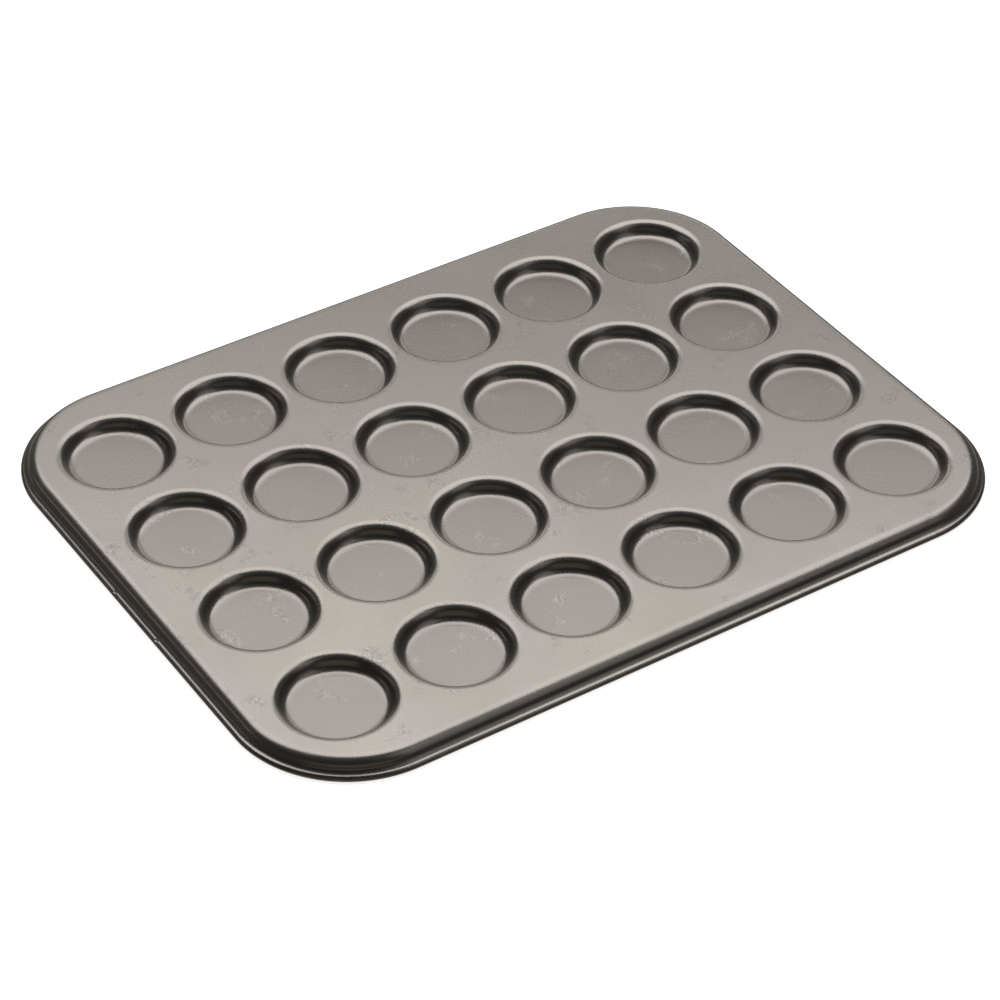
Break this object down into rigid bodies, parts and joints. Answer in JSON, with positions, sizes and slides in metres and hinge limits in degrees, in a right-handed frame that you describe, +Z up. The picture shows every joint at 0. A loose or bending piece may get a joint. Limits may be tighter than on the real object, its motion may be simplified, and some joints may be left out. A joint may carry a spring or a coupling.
{
  "type": "muffin tin",
  "caption": "Shallow-cup muffin tin: a flat deck of non-stick coated pressed steel with rows of round shallow cups, rounded corners and a rolled, wire-stiffened rim.",
  "frame": {"origin": "middle of the footprint, on the plane that the rolled rim stands on", "axes": "+X along the long side, +Y along the short side towards the back row of cups, +Z up, out of the cups"},
  "size_m": [0.3494, 0.2654, 0.0082],
  "materials": {
    "coated_steel": "satin non-stick coating, warm grey with a fine speckle, on pressed carbon steel",
    "wire": "drawn steel wire, bare, dull"
  },
  "bodies": {
    "root": {"deck": "coated_steel", "cup_row1_column1": "coated_steel", "cup_row1_column2": "coated_steel", "cup_row1_column3": "coated_steel", "cup_row1_column4": "coated_steel", "cup_row1_column5": "coated_steel", "cup_row1_column6": "coated_steel", "cup_row2_column1": "coated_steel", "cup_row2_column2": "coated_steel", "cup_row2_column3": "coated_steel", "cup_row2_column4": "coated_steel", "cup_row2_column5": "coated_steel", "cup_row2_column6": "coated_steel", "cup_row3_column1": "coated_steel", "cup_row3_column2": "coated_steel", "cup_row3_column3": "coated_steel", "cup_row3_column4": "coated_steel", "cup_row3_column5": "coated_steel", "cup_row3_column6": "coated_steel", "cup_row4_column1": "coated_steel", "cup_row4_column2": "coated_steel", "cup_row4_column3": "coated_steel", "cup_row4_column4": "coated_steel", "cup_row4_column5": "coated_steel", "cup_row4_column6": "coated_steel", "rolled_rim": "coated_steel", "rim_wire": "wire"}
  },
  "joints": []
}
